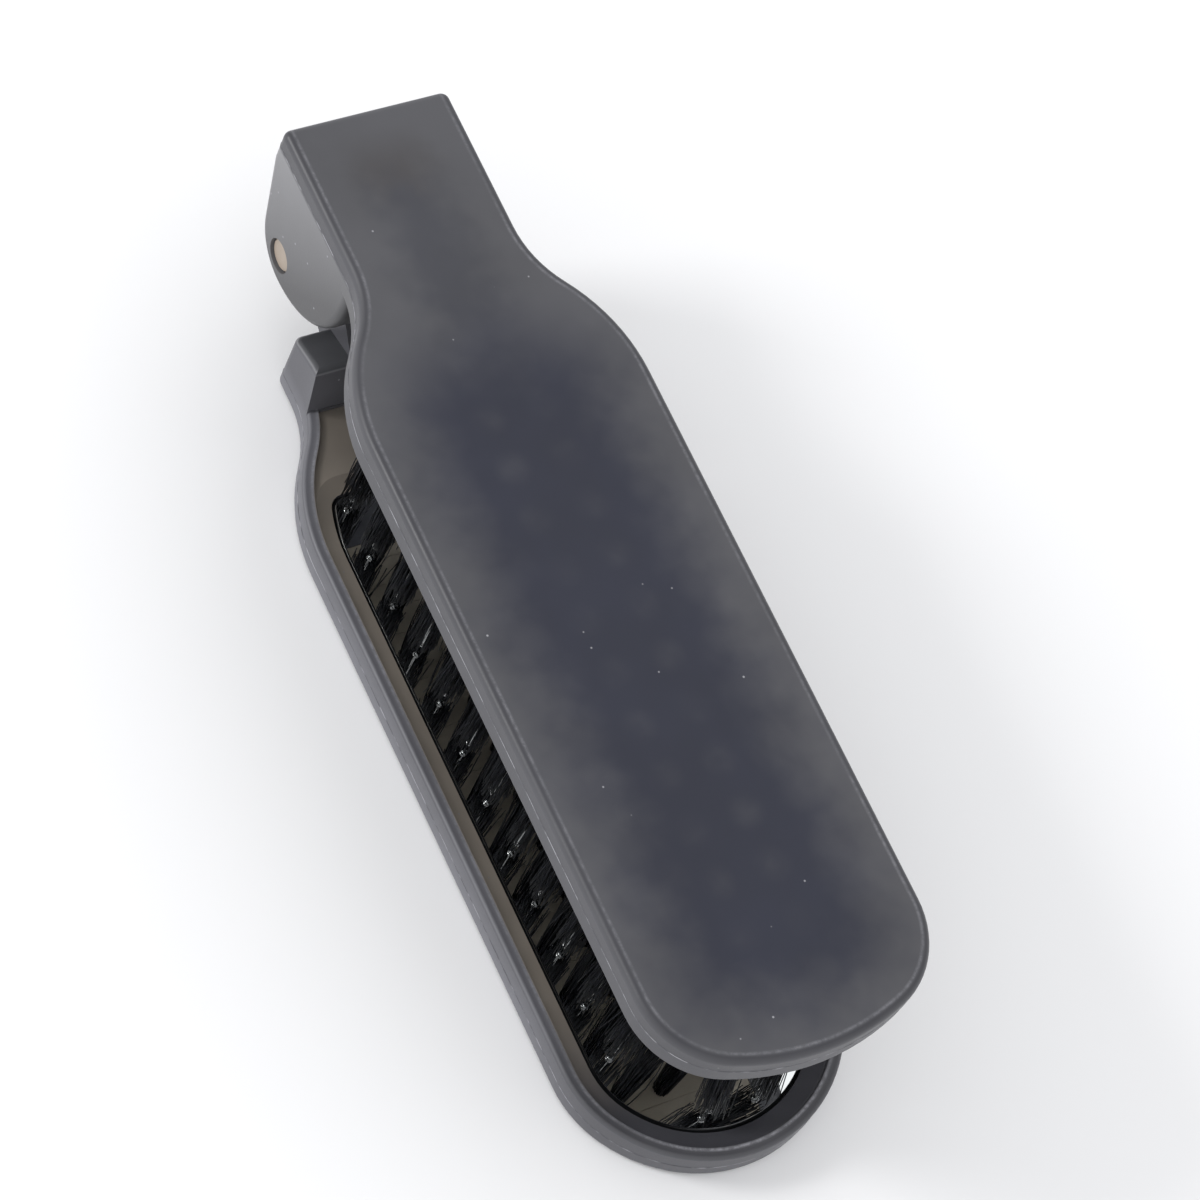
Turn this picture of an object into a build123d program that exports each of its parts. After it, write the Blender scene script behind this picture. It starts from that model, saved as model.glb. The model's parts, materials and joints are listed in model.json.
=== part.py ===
"""Folding hair brush with a mirror.

Two paddle halves are hinged at their necks. Closed, the brush half lies over the mirror half
with the bristles between them; opened half a turn, they lie end to end as one long brush.

Sizes are in millimetres. The closed brush lies on the mirror half's outer face, at Z = 0.
+Z is up, +Y points to the hinge, and X = 0 is the plane that splits the brush left from right.
"""
import os
from math import acos, asin, atan2, cos, degrees, pi, radians, sin, sqrt, tan

from build123d import *

os.makedirs("parts", exist_ok=True)

# Brush half, seen in plan
BRUSH_LENGTH = 129.5
PADDLE_WIDTH = 38.0
BRUSH_CORNER_RADIUS = 11.7
BRUSH_TIP_CROWN = 1.3
NECK_WIDTH = 22.6
NECK_LENGTH = 20.2
SHOULDER_LENGTH = 23.3
SHOULDER_HOLLOW_RADIUS = 14.9
END_CORNER_RADIUS = 1.1

# Mirror half, seen in plan: the same neck and shoulder with a rounder tip
MIRROR_SIDE_SETBACK = 0.3
MIRROR_OVERHANG = 2.0
MIRROR_CORNER_RADIUS = 15.0
MIRROR_TIP_CROWN = 2.0

# Heights
CLOSED_HEIGHT = 33.6
SLAB_HEIGHT = 5.4
FACE_EDGE_RADIUS = 1.0
RIM_EDGE_RADIUS = 0.5

# Hinge
PIN_SETBACK = 7.9
PIN_DIAMETER = 4.6
PIN_RECESS = 0.4
PIN_RUNNING_CLEARANCE = 0.06
PIN_END_CHAMFER = 0.3
END_GAP_WHEN_OPEN = 0.2
EAR_THICKNESS = 4.8
EAR_WALL_BELOW_PIN = 1.9
EAR_BOTTOM_OFFSET = 1.2
EAR_REAR_RADIUS = 7.0
EAR_FRONT_RADIUS = 13.0
KNUCKLE_WALL = 3.5
KNUCKLE_SIDE_CLEARANCE = 0.2
BLOCK_END_RISE = 4.9
BLOCK_CREST_RISE = 6.8
BLOCK_CREST_SETBACK = 2.3
BLOCK_WALL_RUN = 1.8
BLOCK_EDGE_RADIUS = 0.8
TONGUE_SLAB_CLEARANCE = 1.0

# Mirror and what it sits in
RIM_WIDTH = 1.5
RIM_STEP = 0.6
GLASS_INSET = 4.1
GLASS_NECK_SETBACK = 35.5
GLASS_NECK_CORNER = 2.0
GLASS_RECESS = 1.6
GLASS_THICKNESS = 1.0
GLASS_EDGE_CHAMFER = 0.4
GLASS_SIDE_CLEARANCE = 0.15
SILVER_THICKNESS = 0.1
TAPE_THICKNESS = 0.5
TAPE_INSET = 1.2
BAND_WIDTH = 2.3

# Bristle plate, let into the brush half
PLATE_SIDE_MARGIN = 4.0
PLATE_NECK_SETBACK = 32.5
PLATE_TIP_MARGIN = 4.0
PLATE_CORNER_RADIUS = 7.0
PLATE_COVER = 1.8
PLATE_SIDE_CLEARANCE = 0.1

# Tufts, in a square grid that fills the plate up to its margins
ROW_COUNT = 13
FIRST_ROW_MARGIN = 4.5
LAST_ROW_MARGIN = 4.5
COLUMN_COUNT = 4
COLUMN_MARGIN = 3.9
TIP_ROW_COLUMN_COUNT = 2
STRIP_WIDTH = 3.6
STRIP_THICKNESS = 0.8
STRIP_SIDE_CLEARANCE = 0.05
TUFT_HOLE_DIAMETER = 2.6
TUFT_HOLE_DEPTH = 1.6
STRANDS_PER_TUFT = 8
STRAND_WIDTH = 0.42
STRAND_ROOT_RADIUS = 0.85
STRAND_TIP_RADIUS = 2.3
STRAND_ROOT_DEPTH = 0.4
STRAND_TIP_CLEARANCE = 1.8
STRAND_LENGTH_STEP = 0.35
TIP_ROW_ANGLE = 9.0

# Ball pins and the staples that hold the tufts
BALL_PIN_DIAMETER = 0.6
BALL_PIN_HEAD_DIAMETER = 1.4
BALL_DIAMETER = 1.1
BALL_PIN_SIDE_CLEARANCE = 0.06
BALL_GLASS_CLEARANCE = 1.0
STAPLE_THICKNESS = 0.4
STAPLE_HEIGHT = 1.3
STAPLE_END_CLEARANCE = 0.1

# Places worked out from the sizes
HINGE_END_Y = (BRUSH_LENGTH + MIRROR_OVERHANG) / 2
BRUSH_TIP_Y = HINGE_END_Y - BRUSH_LENGTH
MIRROR_TIP_Y = BRUSH_TIP_Y - MIRROR_OVERHANG
MIRROR_WIDTH = PADDLE_WIDTH - 2 * MIRROR_SIDE_SETBACK
NECK_FOOT_Y = HINGE_END_Y - NECK_LENGTH
PIN_Y = HINGE_END_Y - PIN_SETBACK
PIN_Z = CLOSED_HEIGHT / 2
MIRROR_END_Y = PIN_Y - PIN_SETBACK - END_GAP_WHEN_OPEN
BRUSH_RIM_Z = CLOSED_HEIGHT - SLAB_HEIGHT
NECK_HALF = NECK_WIDTH / 2
EAR_INNER_X = NECK_HALF - EAR_THICKNESS
EAR_BOTTOM_Z = PIN_Z - PIN_DIAMETER / 2 - EAR_WALL_BELOW_PIN
EAR_BOTTOM_Y = PIN_Y - EAR_BOTTOM_OFFSET
KNUCKLE_RADIUS = PIN_DIAMETER / 2 + KNUCKLE_WALL
BLOCK_END_HEIGHT = SLAB_HEIGHT + BLOCK_END_RISE
BLOCK_CREST_HEIGHT = SLAB_HEIGHT + BLOCK_CREST_RISE
BLOCK_CREST_Y = NECK_FOOT_Y - BLOCK_CREST_SETBACK
BLOCK_FOOT_Y = BLOCK_CREST_Y - BLOCK_WALL_RUN
FLOOR_Z = SLAB_HEIGHT - RIM_STEP
GLASS_TOP_Z = SLAB_HEIGHT - GLASS_RECESS
SILVER_TOP_Z = GLASS_TOP_Z - GLASS_THICKNESS
TAPE_TOP_Z = SILVER_TOP_Z - SILVER_THICKNESS
SEAT_Z = TAPE_TOP_Z - TAPE_THICKNESS
PLATE_THICKNESS = SLAB_HEIGHT - PLATE_COVER
PLATE_WIDTH = PADDLE_WIDTH - 2 * PLATE_SIDE_MARGIN
COLUMN_PITCH = (PLATE_WIDTH - 2 * COLUMN_MARGIN) / (COLUMN_COUNT - 1)
FIRST_ROW_Y = HINGE_END_Y - PLATE_NECK_SETBACK - FIRST_ROW_MARGIN
LAST_ROW_Y = BRUSH_TIP_Y + PLATE_TIP_MARGIN + LAST_ROW_MARGIN
ROW_PITCH = (FIRST_ROW_Y - LAST_ROW_Y) / (ROW_COUNT - 1)
STRIP_TOP_Z = BRUSH_RIM_Z + STRIP_THICKNESS
STAPLE_TOP_Z = STRIP_TOP_Z + TUFT_HOLE_DEPTH
STAPLE_FOOT_Z = STAPLE_TOP_Z - STAPLE_HEIGHT
BALL_PIN_HEAD_THICKNESS = STAPLE_FOOT_Z - STRIP_TOP_Z


def crowned_tip(side, y_tip, corner, crown):
    """Half a rounded tip: the side's corner arc, then a flatter arc to the centre line."""
    end_radius = corner + crown / 2 + (side - corner) ** 2 / (2 * crown)
    corner_turn = degrees(acos((side - corner) / (end_radius - corner)))
    corner_arc = JernArc((side, y_tip + corner + crown), (0, -1), corner, -corner_turn)
    JernArc(corner_arc @ 1, corner_arc % 1, end_radius, corner_turn - 90)


def paddle(width, y_end, y_tip, corner, crown, inset=0.0):
    """A half's outline: neck, a shoulder of two tangent arcs, straight sides and a rounded tip."""
    neck = NECK_HALF - inset
    side = width / 2 - inset
    rise = side - neck
    both_radii = (SHOULDER_LENGTH**2 + rise**2) / (2 * rise)
    turn = degrees(asin(SHOULDER_LENGTH / both_radii))
    hollow = SHOULDER_HOLLOW_RADIUS + inset
    end_corner = max(END_CORNER_RADIUS - inset, 0.1)
    with BuildSketch() as outline:
        with BuildLine():
            Line((0, y_end - inset), (neck - end_corner, y_end - inset))
            rounded = JernArc((neck - end_corner, y_end - inset), (1, 0), end_corner, -90)
            Line(rounded @ 1, (neck, NECK_FOOT_Y))
            hollow_arc = JernArc((neck, NECK_FOOT_Y), (0, -1), hollow, turn)
            shoulder = JernArc(hollow_arc @ 1, hollow_arc % 1, both_radii - hollow, -turn)
            Line(shoulder @ 1, (side, y_tip + corner + crown))
            crowned_tip(side, y_tip + inset, corner - inset, crown)
            mirror(about=Plane.YZ)
        make_face()
    return outline.sketch


def brush_outline(inset=0.0):
    """The brush half's outline."""
    return paddle(PADDLE_WIDTH, HINGE_END_Y, BRUSH_TIP_Y, BRUSH_CORNER_RADIUS, BRUSH_TIP_CROWN, inset)


def mirror_outline(inset=0.0):
    """The mirror half's outline."""
    return paddle(
        MIRROR_WIDTH, MIRROR_END_Y, MIRROR_TIP_Y, MIRROR_CORNER_RADIUS, MIRROR_TIP_CROWN, inset
    )


def glass_outline(grow=0.0):
    """The glass's outline: it follows the mirror half's, with a straight neck end."""
    y_end = HINGE_END_Y - GLASS_NECK_SETBACK + grow
    with BuildSketch() as outline:
        add(mirror_outline(GLASS_INSET - grow))
        with Locations((0, y_end)):
            Rectangle(MIRROR_WIDTH, BRUSH_LENGTH, align=(Align.CENTER, Align.MIN), mode=Mode.SUBTRACT)
        fillet(outline.vertices().group_by(Axis.Y)[-1], GLASS_NECK_CORNER + grow)
    return outline.sketch


def plate_outline(clearance=0.0):
    """The bristle plate's outline, or with a clearance its pocket in the brush half."""
    y_end = HINGE_END_Y - PLATE_NECK_SETBACK
    y_tip = BRUSH_TIP_Y + PLATE_TIP_MARGIN
    with BuildSketch() as outline:
        with Locations((0, (y_end + y_tip) / 2)):
            RectangleRounded(
                PLATE_WIDTH + 2 * clearance,
                y_end - y_tip + 2 * clearance,
                PLATE_CORNER_RADIUS + clearance,
            )
    return outline.sketch


def ear_profile():
    """An ear seen from the side: leaning rear edge, round bottom behind, wider round in front.

    The rear edge is the tangent from the slab's end to the bottom's rear round.
    """
    rear_centre_y = EAR_BOTTOM_Y
    rear_centre_z = EAR_BOTTOM_Z + EAR_REAR_RADIUS
    run, drop = HINGE_END_Y - rear_centre_y, BRUSH_RIM_Z - rear_centre_z
    span = sqrt(run**2 + drop**2)
    tangent_length = sqrt(span**2 - EAR_REAR_RADIUS**2)
    heading = atan2(-drop, -run) + asin(EAR_REAR_RADIUS / span)
    touch_y = HINGE_END_Y + tangent_length * cos(heading)
    touch_z = BRUSH_RIM_Z + tangent_length * sin(heading)
    inside_slab_z = BRUSH_RIM_Z + SLAB_HEIGHT / 2
    with BuildSketch() as profile:
        with BuildLine():
            rear = Line((HINGE_END_Y, BRUSH_RIM_Z), (touch_y, touch_z))
            bottom = JernArc(rear @ 1, rear % 1, EAR_REAR_RADIUS, -180 - degrees(heading))
            front = JernArc(bottom @ 1, bottom % 1, EAR_FRONT_RADIUS, -90)
            Polyline(front @ 1, ((front @ 1).X, inside_slab_z), (HINGE_END_Y, inside_slab_z), rear @ 0)
        make_face()
    return profile.sketch


def tongue_profile(bore):
    """The mirror half's tongue seen from the side: a round knuckle run into the block's end."""
    knuckle_root_z = (BLOCK_END_HEIGHT + BLOCK_CREST_HEIGHT) / 2
    foot_z = SLAB_HEIGHT + TONGUE_SLAB_CLEARANCE
    with BuildSketch() as profile:
        with Locations((PIN_Y, PIN_Z)):
            Circle(KNUCKLE_RADIUS)
        with Locations(((BLOCK_CREST_Y + MIRROR_END_Y) / 2, (foot_z + knuckle_root_z) / 2)):
            Rectangle(MIRROR_END_Y - BLOCK_CREST_Y, knuckle_root_z - foot_z)
        make_hull()
        with Locations((PIN_Y, PIN_Z)):
            Circle(bore, mode=Mode.SUBTRACT)
    return profile.sketch


def tuft_places(row):
    """A row's tufts, each as its root on the plate's face and its drift for one millimetre of drop."""
    last = row == ROW_COUNT - 1
    columns = TIP_ROW_COLUMN_COUNT if last else COLUMN_COUNT
    y = FIRST_ROW_Y - row * ROW_PITCH
    lean = TIP_ROW_ANGLE if last else 0
    hang = Vector(0, -tan(radians(lean)), -1)
    places = []
    for column in range(columns):
        x = COLUMN_PITCH * (column - (columns - 1) / 2)
        places.append((Vector(x, y, BRUSH_RIM_Z), hang))
    return places


def strip_outline(row, clearance=0.0):
    """A row's strip of the plate, or with a clearance the slot that it lies in."""
    places = tuft_places(row)
    with BuildSketch() as outline:
        with Locations((0, places[0][0].Y)):
            SlotCenterToCenter(COLUMN_PITCH * (len(places) - 1), STRIP_WIDTH + 2 * clearance)
    return outline.sketch


def strand(start, end):
    """One bristle: a square rod."""
    with BuildPart() as rod:
        with BuildSketch(Plane(origin=start, z_dir=end - start)):
            Rectangle(STRAND_WIDTH, STRAND_WIDTH)
        extrude(amount=(end - start).length)
    return rod.part


def tuft_strands(row, column, root, hang):
    """A tuft's bristles: a ring at the root that spreads towards the tips, of uneven lengths."""
    longest = BRUSH_RIM_Z - GLASS_TOP_Z - STRAND_TIP_CLEARANCE
    strands = []
    for number in range(STRANDS_PER_TUFT):
        angle = 2 * pi * number / STRANDS_PER_TUFT + row + 2 * column
        around = Vector(cos(angle), sin(angle), 0)
        shortfall = (3 * number + 2 * row + column) % STRANDS_PER_TUFT * STRAND_LENGTH_STEP
        start = root + around * STRAND_ROOT_RADIUS + Vector(0, 0, STRAND_ROOT_DEPTH)
        end = root + hang * (longest - shortfall) + around * STRAND_TIP_RADIUS
        strands.append(strand(start, end))
    return strands


# One ear of the brush half, rounded round its outer side
with BuildPart() as ear:
    with BuildSketch(Plane.YZ.offset(EAR_INNER_X)):
        add(ear_profile())
    extrude(amount=EAR_THICKNESS)
    fillet(faces().sort_by(Axis.X)[-1].edges().sort_by(Axis.Z)[:-1], END_CORNER_RADIUS)

# Brush half's moulding: slab, two ears with the pin's bores, and the plate's pocket
with BuildPart() as brush_shell:
    with BuildSketch(Plane.XY.offset(BRUSH_RIM_Z)):
        add(brush_outline())
    extrude(amount=SLAB_HEIGHT)
    fillet(faces().sort_by(Axis.Z)[-1].edges(), FACE_EDGE_RADIUS)
    fillet(faces().sort_by(Axis.Z)[0].edges(), RIM_EDGE_RADIUS)
    add(ear.part)
    mirror(ear.part, about=Plane.YZ)
    with BuildSketch(Plane.XY.offset(BRUSH_RIM_Z)):
        add(plate_outline(PLATE_SIDE_CLEARANCE))
    extrude(amount=PLATE_THICKNESS, mode=Mode.SUBTRACT)
    with BuildSketch(Plane.YZ):
        with Locations((PIN_Y, PIN_Z)):
            Circle(PIN_DIAMETER / 2)
    extrude(amount=NECK_HALF, both=True, mode=Mode.SUBTRACT)
brush_shell.part.label = "brush_shell"
export_step(brush_shell.part, "parts/brush_shell.step")

# Hinge pin, pressed into both ears and a little short of their outer sides
with BuildPart() as hinge_pin:
    with BuildSketch(Plane.YZ):
        with Locations((PIN_Y, PIN_Z)):
            Circle(PIN_DIAMETER / 2)
    extrude(amount=NECK_HALF - PIN_RECESS, both=True)
    chamfer(edges().filter_by(GeomType.CIRCLE), PIN_END_CHAMFER)
hinge_pin.part.label = "hinge_pin"
export_step(hinge_pin.part, "parts/hinge_pin.step")

# Bristle plate: a slot for each row's strip, with a blind hole above each tuft
with BuildPart() as bristle_plate:
    with BuildSketch(Plane.XY.offset(BRUSH_RIM_Z)):
        add(plate_outline())
    extrude(amount=PLATE_THICKNESS)
    with BuildSketch(Plane.XY.offset(BRUSH_RIM_Z)):
        for row in range(ROW_COUNT):
            add(strip_outline(row, STRIP_SIDE_CLEARANCE))
    extrude(amount=STRIP_THICKNESS, mode=Mode.SUBTRACT)
    with BuildSketch(Plane.XY.offset(STRIP_TOP_Z)):
        for row in range(ROW_COUNT):
            for root, hang in tuft_places(row):
                with Locations((root.X, root.Y)):
                    Circle(TUFT_HOLE_DIAMETER / 2)
    extrude(amount=TUFT_HOLE_DEPTH, mode=Mode.SUBTRACT)
bristle_plate.part.label = "bristle_plate"
export_step(bristle_plate.part, "parts/bristle_plate.step")

# Tuft rows: each row's bristles on its own strip of the plate, holed for the ball pins
for row in range(ROW_COUNT):
    with BuildPart() as tuft_row:
        with BuildSketch(Plane.XY.offset(BRUSH_RIM_Z)):
            add(strip_outline(row))
        extrude(amount=STRIP_THICKNESS)
        for root, hang in tuft_places(row):
            with BuildSketch(Plane(origin=root, z_dir=-hang)):
                Circle(BALL_PIN_DIAMETER / 2 + BALL_PIN_SIDE_CLEARANCE)
        extrude(amount=2 * STRIP_THICKNESS, both=True, mode=Mode.SUBTRACT)
        strands = []
        for column, (root, hang) in enumerate(tuft_places(row)):
            strands += tuft_strands(row, column, root, hang)
        add(strands)
    tuft_row.part.label = f"tuft_row_{row + 1:02d}"
    export_step(tuft_row.part, f"parts/tuft_row_{row + 1:02d}.step")

# Ball pins: one in the middle of each tuft, a little longer than its bristles, with a flat head
ball_drop = BRUSH_RIM_Z - GLASS_TOP_Z - BALL_GLASS_CLEARANCE - BALL_DIAMETER / 2
head_lift = STRIP_TOP_Z + BALL_PIN_HEAD_THICKNESS / 2 - BRUSH_RIM_Z
for row in range(ROW_COUNT):
    with BuildPart() as ball_pin_row:
        for root, hang in tuft_places(row):
            with BuildSketch(Plane(origin=root - hang * head_lift, z_dir=hang)):
                Circle(BALL_PIN_DIAMETER / 2)
            extrude(amount=(hang * (ball_drop + head_lift)).length)
            with Locations(root + hang * ball_drop):
                Sphere(BALL_DIAMETER / 2)
            with Locations((root.X, root.Y, STRIP_TOP_Z + BALL_PIN_HEAD_THICKNESS / 2)):
                Cylinder(BALL_PIN_HEAD_DIAMETER / 2, BALL_PIN_HEAD_THICKNESS)
    ball_pin_row.part.label = f"ball_pin_row_{row + 1:02d}"
    export_step(ball_pin_row.part, f"parts/ball_pin_row_{row + 1:02d}.step")

# Staples: a flat wedge across the bottom of each tuft's hole, on the ball pin's head
staple_length = sqrt(TUFT_HOLE_DIAMETER**2 - STAPLE_THICKNESS**2) - STAPLE_END_CLEARANCE
with BuildPart() as tuft_staples:
    with BuildSketch(Plane.XY.offset(STAPLE_FOOT_Z)):
        for row in range(ROW_COUNT):
            for root, hang in tuft_places(row):
                with Locations((root.X, root.Y)):
                    Rectangle(staple_length, STAPLE_THICKNESS)
    extrude(amount=STAPLE_HEIGHT)
tuft_staples.part.label = "tuft_staples"
export_step(tuft_staples.part, "parts/tuft_staples.step")

# Raised block on the mirror half's neck, flush with its sides
with BuildPart() as block:
    with BuildSketch(Plane.YZ):
        with BuildLine():
            Polyline(
                (MIRROR_END_Y, SLAB_HEIGHT / 2),
                (MIRROR_END_Y, BLOCK_END_HEIGHT),
                (BLOCK_CREST_Y, BLOCK_CREST_HEIGHT),
                (BLOCK_FOOT_Y, FLOOR_Z),
                (BLOCK_FOOT_Y, SLAB_HEIGHT / 2),
                close=True,
            )
        make_face()
    extrude(amount=MIRROR_WIDTH / 2, both=True)
    with BuildSketch():
        add(mirror_outline())
    extrude(amount=CLOSED_HEIGHT, mode=Mode.INTERSECT)
    fillet(faces().sort_by(Axis.Z)[-1].edges(), BLOCK_EDGE_RADIUS)

# Mirror half's moulding: slab, block, tongue with the pin's running bore, and the stepped tray
with BuildPart() as mirror_frame:
    with BuildSketch():
        add(mirror_outline())
    extrude(amount=SLAB_HEIGHT)
    fillet(faces().sort_by(Axis.Z)[-1].edges(), RIM_EDGE_RADIUS)
    fillet(faces().sort_by(Axis.Z)[0].edges(), FACE_EDGE_RADIUS)
    with BuildSketch(Plane.XY.offset(FLOOR_Z)):
        add(mirror_outline(RIM_WIDTH))
        with Locations((0, BLOCK_FOOT_Y)):
            Rectangle(MIRROR_WIDTH, NECK_LENGTH, align=(Align.CENTER, Align.MIN), mode=Mode.SUBTRACT)
    extrude(amount=RIM_STEP, mode=Mode.SUBTRACT)
    with BuildSketch(Plane.XY.offset(GLASS_TOP_Z)):
        add(glass_outline(GLASS_SIDE_CLEARANCE))
    with BuildSketch(Plane.XY.offset(FLOOR_Z)):
        add(glass_outline(BAND_WIDTH))
    loft(ruled=True, mode=Mode.SUBTRACT)
    with BuildSketch(Plane.XY.offset(SEAT_Z)):
        add(glass_outline(GLASS_SIDE_CLEARANCE))
    extrude(amount=GLASS_TOP_Z - SEAT_Z, mode=Mode.SUBTRACT)
    add(block.part)
    with BuildSketch(Plane.YZ):
        add(tongue_profile(PIN_DIAMETER / 2 + PIN_RUNNING_CLEARANCE))
    extrude(amount=EAR_INNER_X - KNUCKLE_SIDE_CLEARANCE, both=True)
mirror_frame.part.label = "mirror_frame"
export_step(mirror_frame.part, "parts/mirror_frame.step")

# Mirror glass, its upper edge broken all round
with BuildPart() as mirror_glass:
    with BuildSketch(Plane.XY.offset(SILVER_TOP_Z)):
        add(glass_outline())
    extrude(amount=GLASS_THICKNESS)
    chamfer(faces().sort_by(Axis.Z)[-1].edges(), GLASS_EDGE_CHAMFER)
mirror_glass.part.label = "mirror_glass"
export_step(mirror_glass.part, "parts/mirror_glass.step")

# Silvering, with its backing paint, under the glass
with BuildPart() as mirror_silver:
    with BuildSketch(Plane.XY.offset(TAPE_TOP_Z)):
        add(glass_outline())
    extrude(amount=SILVER_THICKNESS)
mirror_silver.part.label = "mirror_silver"
export_step(mirror_silver.part, "parts/mirror_silver.step")

# Tape that holds the glass in its seat
with BuildPart() as mirror_tape:
    with BuildSketch(Plane.XY.offset(SEAT_Z)):
        add(glass_outline(-TAPE_INSET))
    extrude(amount=TAPE_THICKNESS)
mirror_tape.part.label = "mirror_tape"
export_step(mirror_tape.part, "parts/mirror_tape.step")
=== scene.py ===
"""Folding hair brush with a mirror: surfaces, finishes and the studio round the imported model.

Everything is in metres, in the model's own frame: the closed brush lies on Z = 0, +Y points to
the hinge, and X = 0 splits the brush left from right.
"""
import json

import bpy
import numpy as np
from bpy.props import FloatProperty, FloatVectorProperty, IntProperty, PointerProperty
from bpy.types import Operator, Panel, PropertyGroup
from mathutils import Matrix, Vector


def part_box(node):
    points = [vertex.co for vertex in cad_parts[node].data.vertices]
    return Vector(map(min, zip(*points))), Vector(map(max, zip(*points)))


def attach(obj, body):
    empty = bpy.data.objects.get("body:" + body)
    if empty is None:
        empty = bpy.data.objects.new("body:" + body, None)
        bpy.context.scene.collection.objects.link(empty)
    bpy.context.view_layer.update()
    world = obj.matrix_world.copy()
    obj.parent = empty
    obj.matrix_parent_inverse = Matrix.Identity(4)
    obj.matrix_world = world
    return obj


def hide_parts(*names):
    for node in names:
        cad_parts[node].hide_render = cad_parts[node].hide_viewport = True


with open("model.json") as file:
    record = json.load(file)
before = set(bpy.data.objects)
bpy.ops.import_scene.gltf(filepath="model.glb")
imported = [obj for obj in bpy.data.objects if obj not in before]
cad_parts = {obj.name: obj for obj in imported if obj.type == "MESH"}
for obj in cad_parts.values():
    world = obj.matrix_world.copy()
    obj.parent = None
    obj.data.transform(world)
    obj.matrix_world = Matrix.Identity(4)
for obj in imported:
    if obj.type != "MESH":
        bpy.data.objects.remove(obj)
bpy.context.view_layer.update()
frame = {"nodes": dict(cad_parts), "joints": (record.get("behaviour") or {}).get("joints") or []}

bl_info = {
    "name": "Folding hair brush",
    "version": (1, 0, 0),
    "blender": (4, 5, 0),
    "location": "View3D > Sidebar > Hair brush",
    "description": "Dresses the folding hair brush with its bristles, finishes and studio",
    "category": "Object",
}

MM = 0.001

# Places read from the frame
SHELL_LOW, SHELL_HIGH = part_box("brush_shell")
FRAME_LOW, FRAME_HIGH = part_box("mirror_frame")
PLATE_LOW, PLATE_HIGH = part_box("bristle_plate")
GLASS_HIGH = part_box("mirror_glass")[1]
ROW_NAMES = sorted(n for n in frame["nodes"] if n.startswith("tuft_row_"))
HINGE = Vector(frame["joints"][0]["pos_m"])

# The halves' outlines, as in the moulds
NECK_HALF = 11.3 * MM
NECK_LENGTH = 20.2 * MM
SHOULDER_LENGTH = 23.3 * MM
SHOULDER_HOLLOW_RADIUS = 14.9 * MM
END_CORNER_RADIUS = 1.1 * MM
BRUSH_CORNER_RADIUS = 11.7 * MM
BRUSH_TIP_CROWN = 1.3 * MM
MIRROR_CORNER_RADIUS = 15.0 * MM
MIRROR_TIP_CROWN = 2.0 * MM
SLAB_HEIGHT = 5.4 * MM
END_GAP_WHEN_OPEN = 0.2 * MM
PARTING_LINE_BREADTH = 0.07 * MM
PARTING_LINE_MEAN = 0.62
PARTING_LINE_WAVES = ((0.2, 9, 1), (0.13, 23, 2), (0.1, 57, 0))
NECK_FOOT_Y = SHELL_HIGH.y - NECK_LENGTH

# The tufts' grid
COLUMN_COUNT = 4
TIP_ROW_COLUMN_COUNT = 2
COLUMN_MARGIN = 3.9 * MM
TIP_ROW_ANGLE = 9.0
BALL_PIN_HEAD_RADIUS = 0.7 * MM
STRIP_WIDTH = 3.6 * MM
STRIP_THICKNESS = 0.8 * MM
COLUMN_PITCH = (PLATE_HIGH.x - PLATE_LOW.x - 2 * COLUMN_MARGIN) / (COLUMN_COUNT - 1)

# How the hairs of a tuft are scattered
GOLDEN_ANGLE = 2.399963
FIRST_ANGLE_RANGE = 6.28
ROOT_DISC_RADIUS = 1.05 * MM
ROOT_DEPTH = 0.5 * MM
GLASS_CLEARANCE = 0.8 * MM
LENGTH_SCATTER = 1.2 * MM
SHORT_SHARE = 0.08
SHORTENED_BY = (2 * MM, 7 * MM)
STRAY_SCATTER = 0.3 * MM
WILD_SHARE = 0.04
WILD_FACTOR = 3.5
BOW_SCATTER = 0.28 * MM
ROW_SEED_STEP = 31
HAIR_TAPER = 0.45

# A direction that no hair runs along, from which each hair's profile is turned
PROFILE_GUIDE = np.array([0.31, 0.95, 0.0])


# Settings

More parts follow.
